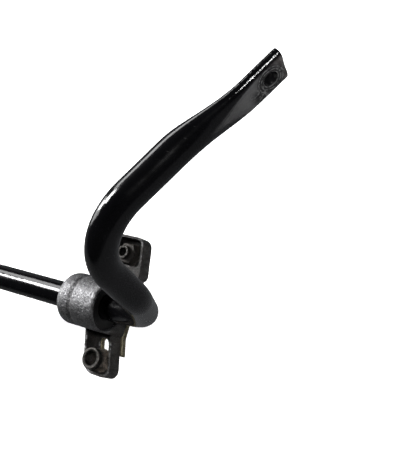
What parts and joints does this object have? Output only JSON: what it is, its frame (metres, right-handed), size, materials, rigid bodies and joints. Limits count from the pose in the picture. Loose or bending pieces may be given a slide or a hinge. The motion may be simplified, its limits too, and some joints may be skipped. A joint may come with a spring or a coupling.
{
  "type": "sway bar",
  "caption": "Round steel anti-roll bar with cranked arms that end in flattened link eyes, held by rubber-bushed pressed-steel clamps with weld nuts.",
  "frame": {"origin": "middle of the footprint, on the plane of the two clamp plates' flat backs", "axes": "+X across the car along the bar, +Y the way the arms reach, +Z away from the surface the clamps bolt to, along the clamp bolts"},
  "size_m": [1.056, 0.2312, 0.1983],
  "materials": {
    "black_paint": "gloss",
    "bare_steel": "worn satin",
    "zinc_plate": "dull zinc plate",
    "nut_steel": "worn satin",
    "rubber": "matte"
  },
  "bodies": {
    "bar": {"sway_bar": "black_paint"},
    "clamp_right": {"clamp_shell_right": "bare_steel", "clamp_back_plate_right": "zinc_plate", "bush_right": "rubber", "sleeve_nut_right": "nut_steel", "collar_nut_right": "nut_steel"},
    "clamp_left": {"clamp_shell_left": "bare_steel", "clamp_back_plate_left": "zinc_plate", "bush_left": "rubber", "sleeve_nut_left": "nut_steel", "collar_nut_left": "nut_steel"}
  },
  "joints": [
    {"name": "clamp_turn_right", "type": "hinge", "parent": "bar", "child": "clamp_right", "pos_m": [0.33, -0.0578, 0.0333], "axis": [1, 0, 0], "range_deg": [-25, 25]},
    {"name": "clamp_turn_left", "type": "hinge", "parent": "bar", "child": "clamp_left", "pos_m": [-0.33, -0.0578, 0.0333], "axis": [1, 0, 0], "range_deg": [-25, 25]}
  ]
}
